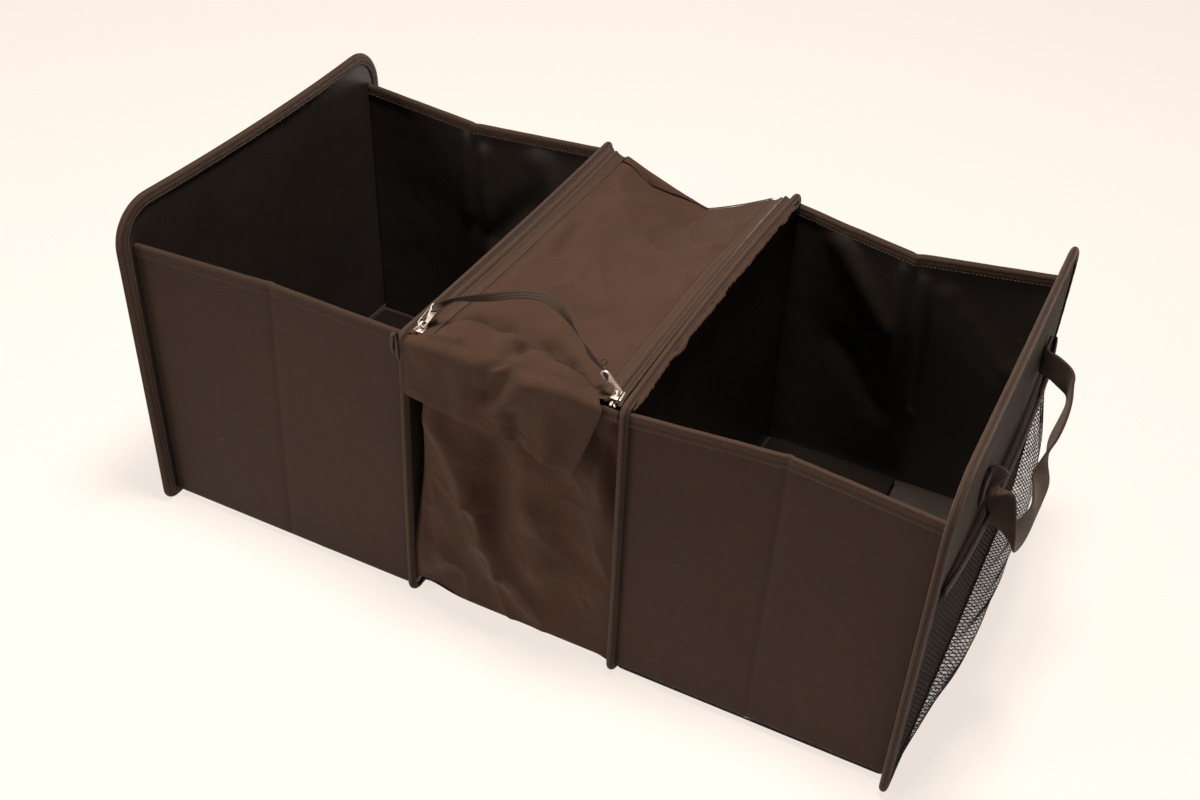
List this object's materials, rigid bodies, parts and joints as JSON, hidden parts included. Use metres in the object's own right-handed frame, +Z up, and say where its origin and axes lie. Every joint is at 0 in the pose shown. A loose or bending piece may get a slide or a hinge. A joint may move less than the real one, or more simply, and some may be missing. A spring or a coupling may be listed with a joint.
{
  "type": "car trunk organizer",
  "caption": "Folding fabric trunk organizer: two open bins beside a zipped soft compartment, with stiff upright panels, webbing handles and mesh end pockets.",
  "frame": {"origin": "on the ground, under the middle of the whole organizer", "axes": "+X from the left bin to the right bin, +Y from front to back, +Z up"},
  "size_m": [0.7932, 0.39, 0.3312],
  "materials": {
    "panel_cloth": "black woven polyester over board",
    "binding_tape": "ribbed black binding tape",
    "lid_cloth": "soft black woven polyester",
    "floor_cloth": "black woven polyester",
    "board_cloth": "black cloth over board",
    "webbing": "black woven webbing",
    "netting": "black knitted net",
    "zip_tape": "black woven zip tape",
    "zip_teeth": "black nylon coil",
    "nickel": "bright nickel plate"
  },
  "bodies": {
    "organizer": {"left_end_panel": "panel_cloth", "left_divider_panel": "panel_cloth", "right_divider_panel": "panel_cloth", "right_end_panel": "panel_cloth", "left_bin_front_wall": "panel_cloth", "left_bin_back_wall": "panel_cloth", "right_bin_front_wall": "panel_cloth", "right_bin_back_wall": "panel_cloth", "left_end_binding": "binding_tape", "left_divider_binding": "binding_tape", "right_divider_binding": "binding_tape", "right_end_binding": "binding_tape", "left_bin_front_top_tape": "binding_tape", "left_bin_back_top_tape": "binding_tape", "right_bin_front_top_tape": "binding_tape", "right_bin_back_top_tape": "binding_tape", "cooler_front_top_tape": "binding_tape", "left_pocket_hem": "binding_tape", "right_pocket_hem": "binding_tape", "cooler_front_wall": "lid_cloth", "cooler_back_wall": "lid_cloth", "cooler_lid": "lid_cloth", "left_bin_floor": "floor_cloth", "cooler_floor": "floor_cloth", "right_bin_floor": "floor_cloth", "left_base_board": "board_cloth", "right_base_board": "board_cloth", "left_handle": "webbing", "right_handle": "webbing", "left_mesh_pocket": "netting", "right_mesh_pocket": "netting", "left_zip_divider_tape": "zip_tape", "left_zip_lid_tape": "zip_tape", "right_zip_divider_tape": "zip_tape", "right_zip_lid_tape": "zip_tape", "left_zip_divider_teeth": "zip_teeth", "left_zip_lid_teeth": "zip_teeth", "right_zip_divider_teeth": "zip_teeth", "right_zip_lid_teeth": "zip_teeth", "left_zip_divider_stop": "nickel", "left_zip_lid_stop": "nickel", "right_zip_divider_stop": "nickel", "right_zip_lid_stop": "nickel"},
    "left_slider": {"left_zip_slider": "nickel"},
    "right_slider": {"right_zip_slider": "nickel"},
    "joined_pulls": {"left_pull_tab": "nickel", "pull_strap": "webbing", "right_pull_tab": "nickel"}
  },
  "joints": [
    {"name": "left_slider_slide", "type": "slide", "parent": "organizer", "child": "left_slider", "axis": [0, 1, 0], "range_m": [0, 0.33]},
    {"name": "right_slider_slide", "type": "slide", "parent": "organizer", "child": "right_slider", "axis": [0, 1, 0], "range_m": [0, 0.33]},
    {"name": "joined_pulls_swing", "type": "hinge", "parent": "left_slider", "child": "joined_pulls", "pos_m": [-0.076, -0.168, 0.28755], "axis": [1, 0, 0], "range_deg": [-25, 70]}
  ],
  "couplings": [
    {"joint": "right_slider_slide", "follows": "left_slider_slide", "ratio": 1}
  ]
}
